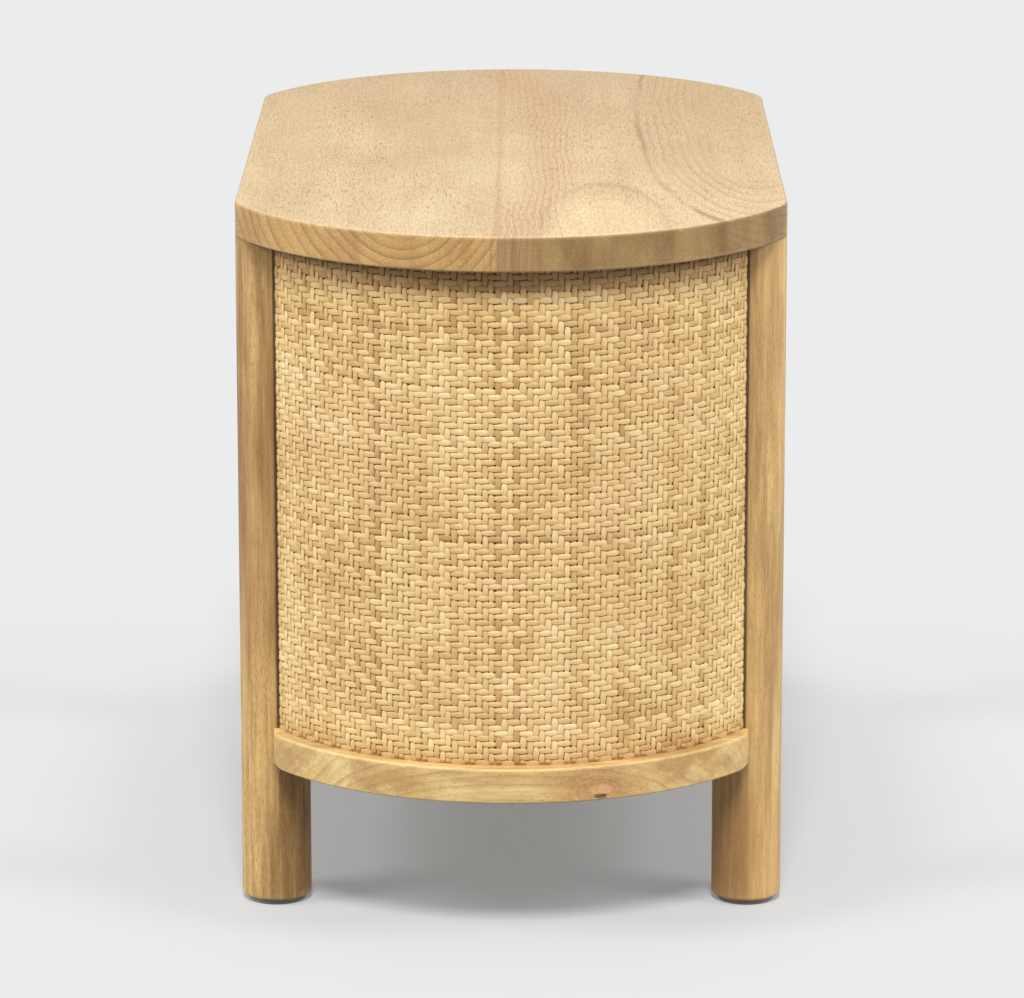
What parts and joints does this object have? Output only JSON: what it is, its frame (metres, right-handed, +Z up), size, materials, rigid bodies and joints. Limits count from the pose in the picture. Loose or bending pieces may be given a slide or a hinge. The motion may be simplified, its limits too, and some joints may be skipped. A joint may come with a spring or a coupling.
{
  "type": "nightstand with drawers",
  "caption": "Nightstand with an oval solid-wood top, round legs, curved woven-rattan ends and stacked front drawers that run on ball-bearing side slides.",
  "frame": {"origin": "on the floor, under the middle of the top", "axes": "+X to the right along the length, -Y to the front where the drawers open, +Z up"},
  "size_m": [0.7998, 0.43, 0.566],
  "materials": {
    "top_wood": "clear matt lacquer, fine open pores",
    "leg_wood": "clear satin lacquer",
    "rail_wood": "clear satin lacquer",
    "front_wood": "clear satin lacquer",
    "knob_wood": "turned and lacquered",
    "inner_wood": "sanded, unfinished",
    "drawer_wood": "sanded, sealed",
    "plywood": "sanded plywood",
    "dowel_wood": "fluted beech dowel",
    "rattan": "natural split rattan in a two-over, two-under twill",
    "slide_steel": "zinc plated",
    "ball_steel": "polished balls in a plain strip",
    "screw_steel": "zinc plated",
    "glide_plastic": "moulded, dark slate grey"
  },
  "bodies": {
    "carcass": {"top_slab": "top_wood", "front_left_leg": "leg_wood", "front_right_leg": "leg_wood", "back_left_leg": "leg_wood", "back_right_leg": "leg_wood", "foot_glides": "glide_plastic", "front_base_rail": "rail_wood", "back_base_rail": "rail_wood", "left_end_rail": "rail_wood", "right_end_rail": "rail_wood", "left_bearer": "inner_wood", "right_bearer": "inner_wood", "floor_panel": "plywood", "left_partition": "plywood", "right_partition": "plywood", "front_top_rail": "inner_wood", "front_middle_rail": "inner_wood", "back_top_rail": "inner_wood", "back_panel": "plywood", "left_end_top_rail": "inner_wood", "right_end_top_rail": "inner_wood", "top_cleats": "inner_wood", "left_end_panel": "plywood", "right_end_panel": "plywood", "left_woven_panel": "rattan", "right_woven_panel": "rattan", "rail_dowels": "dowel_wood", "leg_dowels": "dowel_wood", "top_screws": "screw_steel", "upper_left_case_channel": "slide_steel", "upper_right_case_channel": "slide_steel", "lower_left_case_channel": "slide_steel", "lower_right_case_channel": "slide_steel", "case_channel_screws": "screw_steel"},
    "upper_drawer": {"upper_left_drawer_channel": "slide_steel", "upper_right_drawer_channel": "slide_steel", "upper_drawer_front": "front_wood", "upper_drawer_weave": "rattan", "upper_drawer_left_side": "drawer_wood", "upper_drawer_right_side": "drawer_wood", "upper_drawer_back": "drawer_wood", "upper_drawer_bottom": "plywood", "upper_knob": "knob_wood", "upper_drawer_screws": "screw_steel"},
    "lower_drawer": {"lower_left_drawer_channel": "slide_steel", "lower_right_drawer_channel": "slide_steel", "lower_drawer_front": "front_wood", "lower_drawer_weave": "rattan", "lower_drawer_left_side": "drawer_wood", "lower_drawer_right_side": "drawer_wood", "lower_drawer_back": "drawer_wood", "lower_drawer_bottom": "plywood", "lower_knob": "knob_wood", "lower_drawer_screws": "screw_steel"},
    "upper_slide_middles": {"upper_left_middle_channel": "slide_steel", "upper_right_middle_channel": "slide_steel", "upper_ball_strips": "ball_steel"},
    "lower_slide_middles": {"lower_left_middle_channel": "slide_steel", "lower_right_middle_channel": "slide_steel", "lower_ball_strips": "ball_steel"}
  },
  "joints": [
    {"name": "upper_drawer_slide", "type": "slide", "parent": "carcass", "child": "upper_drawer", "axis": [0, -1, 0], "range_m": [0, 0.3]},
    {"name": "upper_middle_slide", "type": "slide", "parent": "carcass", "child": "upper_slide_middles", "axis": [0, -1, 0], "range_m": [0, 0.15]},
    {"name": "lower_drawer_slide", "type": "slide", "parent": "carcass", "child": "lower_drawer", "axis": [0, -1, 0], "range_m": [0, 0.3]},
    {"name": "lower_middle_slide", "type": "slide", "parent": "carcass", "child": "lower_slide_middles", "axis": [0, -1, 0], "range_m": [0, 0.15]}
  ],
  "couplings": [
    {"joint": "upper_middle_slide", "follows": "upper_drawer_slide", "ratio": 0.5},
    {"joint": "lower_middle_slide", "follows": "lower_drawer_slide", "ratio": 0.5}
  ]
}
